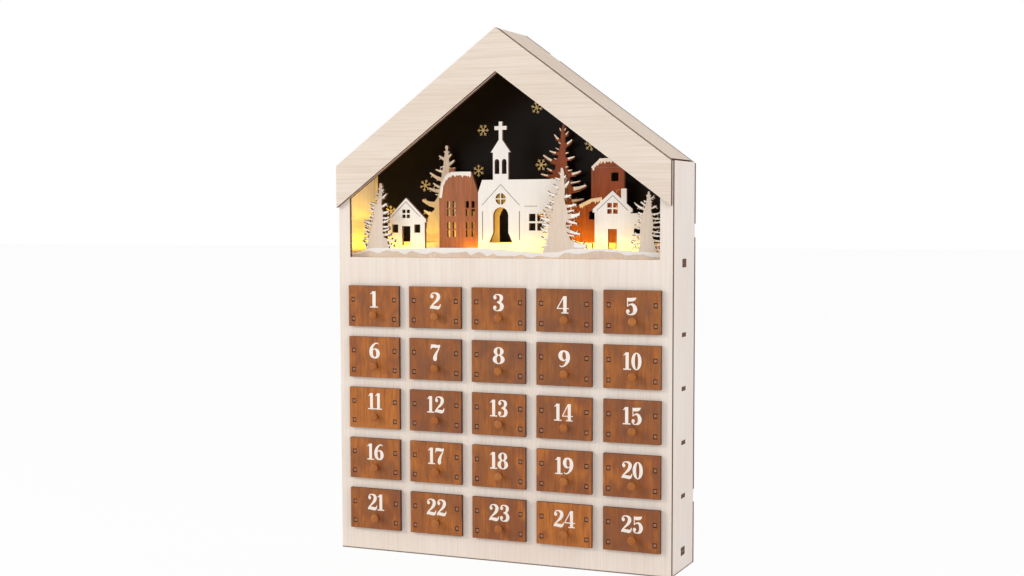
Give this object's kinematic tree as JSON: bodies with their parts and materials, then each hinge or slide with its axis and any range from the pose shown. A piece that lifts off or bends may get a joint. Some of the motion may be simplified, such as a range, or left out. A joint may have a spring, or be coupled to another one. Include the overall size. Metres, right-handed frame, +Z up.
{
  "type": "advent calendar",
  "caption": "Gabled plywood advent calendar house with numbered pull-out drawers below a lit village scene behind an open window.",
  "frame": {"origin": "middle of the footprint, on the surface the calendar stands on", "axes": "+Z up to the ridge, the drawers and the window face -Y, +X to the viewer's right"},
  "size_m": [0.3008, 0.0724, 0.4428],
  "materials": {
    "birch_plywood": "laser cut, unfinished",
    "white_painted_plywood": "thin white paint",
    "brown_stained_plywood": "satin red-brown stain",
    "gloss_black_lacquer": "gloss black",
    "black_plastic": "moulded, satin",
    "cell_wrapper": "printed metal wrapper, plain",
    "nickel_plated_steel": "bright plated",
    "copper_wire": "lacquered copper"
  },
  "bodies": {
    "casing": {"front_panel": "birch_plywood", "roof_fascia": "birch_plywood", "left_side": "birch_plywood", "right_side": "birch_plywood", "roof_left": "birch_plywood", "roof_right": "birch_plywood", "back_panel": "birch_plywood", "base_lower": "birch_plywood", "base_upper": "birch_plywood", "stage_floor_lower": "birch_plywood", "stage_floor_upper": "birch_plywood", "shelf_1": "birch_plywood", "shelf_2": "birch_plywood", "shelf_3": "birch_plywood", "shelf_4": "birch_plywood", "divider_1": "birch_plywood", "divider_2": "birch_plywood", "divider_3": "birch_plywood", "divider_4": "birch_plywood", "sky_backdrop": "gloss_black_lacquer", "front_tree_screen": "birch_plywood", "white_house_left": "white_painted_plywood", "church": "white_painted_plywood", "white_house_right": "white_painted_plywood", "town_house": "brown_stained_plywood", "barn": "brown_stained_plywood", "back_fir": "white_painted_plywood", "brown_fir": "brown_stained_plywood", "battery_tray": "black_plastic", "cell_upper": "cell_wrapper", "cell_lower": "cell_wrapper", "contact_bridge": "nickel_plated_steel", "fairy_lights": "copper_wire"},
    "drawer_01": {"drawer_01": "brown_stained_plywood"},
    "drawer_02": {"drawer_02": "brown_stained_plywood"},
    "drawer_03": {"drawer_03": "brown_stained_plywood"},
    "drawer_04": {"drawer_04": "brown_stained_plywood"},
    "drawer_05": {"drawer_05": "brown_stained_plywood"},
    "drawer_06": {"drawer_06": "brown_stained_plywood"},
    "drawer_07": {"drawer_07": "brown_stained_plywood"},
    "drawer_08": {"drawer_08": "brown_stained_plywood"},
    "drawer_09": {"drawer_09": "brown_stained_plywood"},
    "drawer_10": {"drawer_10": "brown_stained_plywood"},
    "drawer_11": {"drawer_11": "brown_stained_plywood"},
    "drawer_12": {"drawer_12": "brown_stained_plywood"},
    "drawer_13": {"drawer_13": "brown_stained_plywood"},
    "drawer_14": {"drawer_14": "brown_stained_plywood"},
    "drawer_15": {"drawer_15": "brown_stained_plywood"},
    "drawer_16": {"drawer_16": "brown_stained_plywood"},
    "drawer_17": {"drawer_17": "brown_stained_plywood"},
    "drawer_18": {"drawer_18": "brown_stained_plywood"},
    "drawer_19": {"drawer_19": "brown_stained_plywood"},
    "drawer_20": {"drawer_20": "brown_stained_plywood"},
    "drawer_21": {"drawer_21": "brown_stained_plywood"},
    "drawer_22": {"drawer_22": "brown_stained_plywood"},
    "drawer_23": {"drawer_23": "brown_stained_plywood"},
    "drawer_24": {"drawer_24": "brown_stained_plywood"},
    "drawer_25": {"drawer_25": "brown_stained_plywood"},
    "battery_cover": {"battery_cover": "black_plastic"},
    "switch_slider": {"switch_slider": "black_plastic"}
  },
  "joints": [
    {"name": "drawer_01_slide", "type": "slide", "parent": "casing", "child": "drawer_01", "axis": [0, -1, 0], "range_m": [0, 0.052]},
    {"name": "drawer_02_slide", "type": "slide", "parent": "casing", "child": "drawer_02", "axis": [0, -1, 0], "range_m": [0, 0.052]},
    {"name": "drawer_03_slide", "type": "slide", "parent": "casing", "child": "drawer_03", "axis": [0, -1, 0], "range_m": [0, 0.052]},
    {"name": "drawer_04_slide", "type": "slide", "parent": "casing", "child": "drawer_04", "axis": [0, -1, 0], "range_m": [0, 0.052]},
    {"name": "drawer_05_slide", "type": "slide", "parent": "casing", "child": "drawer_05", "axis": [0, -1, 0], "range_m": [0, 0.052]},
    {"name": "drawer_06_slide", "type": "slide", "parent": "casing", "child": "drawer_06", "axis": [0, -1, 0], "range_m": [0, 0.052]},
    {"name": "drawer_07_slide", "type": "slide", "parent": "casing", "child": "drawer_07", "axis": [0, -1, 0], "range_m": [0, 0.052]},
    {"name": "drawer_08_slide", "type": "slide", "parent": "casing", "child": "drawer_08", "axis": [0, -1, 0], "range_m": [0, 0.052]},
    {"name": "drawer_09_slide", "type": "slide", "parent": "casing", "child": "drawer_09", "axis": [0, -1, 0], "range_m": [0, 0.052]},
    {"name": "drawer_10_slide", "type": "slide", "parent": "casing", "child": "drawer_10", "axis": [0, -1, 0], "range_m": [0, 0.052]},
    {"name": "drawer_11_slide", "type": "slide", "parent": "casing", "child": "drawer_11", "axis": [0, -1, 0], "range_m": [0, 0.052]},
    {"name": "drawer_12_slide", "type": "slide", "parent": "casing", "child": "drawer_12", "axis": [0, -1, 0], "range_m": [0, 0.052]},
    {"name": "drawer_13_slide", "type": "slide", "parent": "casing", "child": "drawer_13", "axis": [0, -1, 0], "range_m": [0, 0.052]},
    {"name": "drawer_14_slide", "type": "slide", "parent": "casing", "child": "drawer_14", "axis": [0, -1, 0], "range_m": [0, 0.052]},
    {"name": "drawer_15_slide", "type": "slide", "parent": "casing", "child": "drawer_15", "axis": [0, -1, 0], "range_m": [0, 0.052]},
    {"name": "drawer_16_slide", "type": "slide", "parent": "casing", "child": "drawer_16", "axis": [0, -1, 0], "range_m": [0, 0.052]},
    {"name": "drawer_17_slide", "type": "slide", "parent": "casing", "child": "drawer_17", "axis": [0, -1, 0], "range_m": [0, 0.052]},
    {"name": "drawer_18_slide", "type": "slide", "parent": "casing", "child": "drawer_18", "axis": [0, -1, 0], "range_m": [0, 0.052]},
    {"name": "drawer_19_slide", "type": "slide", "parent": "casing", "child": "drawer_19", "axis": [0, -1, 0], "range_m": [0, 0.052]},
    {"name": "drawer_20_slide", "type": "slide", "parent": "casing", "child": "drawer_20", "axis": [0, -1, 0], "range_m": [0, 0.052]},
    {"name": "drawer_21_slide", "type": "slide", "parent": "casing", "child": "drawer_21", "axis": [0, -1, 0], "range_m": [0, 0.052]},
    {"name": "drawer_22_slide", "type": "slide", "parent": "casing", "child": "drawer_22", "axis": [0, -1, 0], "range_m": [0, 0.052]},
    {"name": "drawer_23_slide", "type": "slide", "parent": "casing", "child": "drawer_23", "axis": [0, -1, 0], "range_m": [0, 0.052]},
    {"name": "drawer_24_slide", "type": "slide", "parent": "casing", "child": "drawer_24", "axis": [0, -1, 0], "range_m": [0, 0.052]},
    {"name": "drawer_25_slide", "type": "slide", "parent": "casing", "child": "drawer_25", "axis": [0, -1, 0], "range_m": [0, 0.052]},
    {"name": "battery_cover_slide", "type": "slide", "parent": "casing", "child": "battery_cover", "axis": [0, 1, 0], "range_m": [0, 0.012]},
    {"name": "switch_slide", "type": "slide", "parent": "casing", "child": "switch_slider", "axis": [0, 0, 1], "range_m": [-0.004, 0]}
  ]
}
